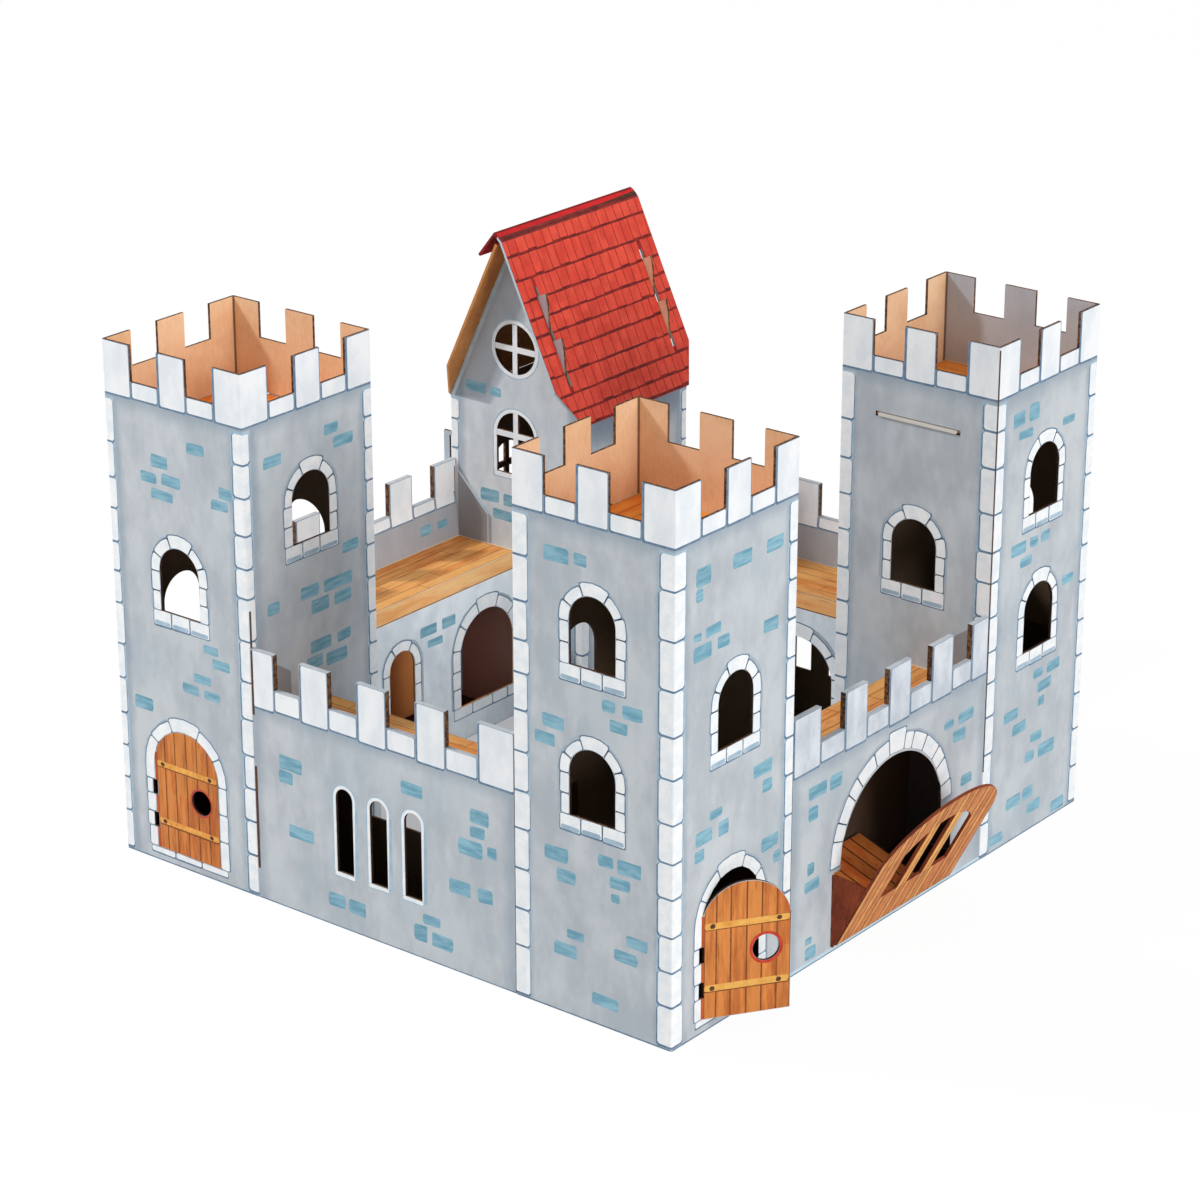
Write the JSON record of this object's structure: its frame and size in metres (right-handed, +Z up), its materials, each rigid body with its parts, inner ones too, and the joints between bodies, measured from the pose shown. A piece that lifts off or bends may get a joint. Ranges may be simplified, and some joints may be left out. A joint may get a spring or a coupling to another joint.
{
  "type": "cardboard castle",
  "caption": "Play castle of folded printed card: corner towers, battlement walls with walkways, a gabled keep, a gate with a drawbridge flap.",
  "frame": {"origin": "middle of the near tower's foot, on the ground", "axes": "+Z up; the gate wall and the drawbridge face -Y; the keep stands at the +X +Y corner"},
  "size_m": [0.492, 0.5321, 0.3779],
  "materials": {
    "tower_near": "matt printed card",
    "tower_left": "matt printed card",
    "tower_right": "matt printed card",
    "floor_near": "matt printed card",
    "floor_left": "matt printed card",
    "floor_right": "matt printed card",
    "wall_gate": "matt printed card",
    "wall_front_left": "matt printed card",
    "wall_back_left": "matt printed card",
    "wall_back_right": "matt printed card",
    "keep": "matt printed card",
    "roof_front": "matt printed card",
    "roof_back": "matt printed card"
  },
  "bodies": {
    "root": {"tower_near": "tower_near", "tower_left": "tower_left", "tower_right": "tower_right", "floor_near": "floor_near", "floor_left": "floor_left", "floor_right": "floor_right", "wall_gate": "wall_gate", "wall_front_left": "wall_front_left", "wall_back_left": "wall_back_left", "wall_back_right": "wall_back_right", "keep": "keep", "roof_front": "roof_front", "roof_back": "roof_back"}
  },
  "joints": []
}
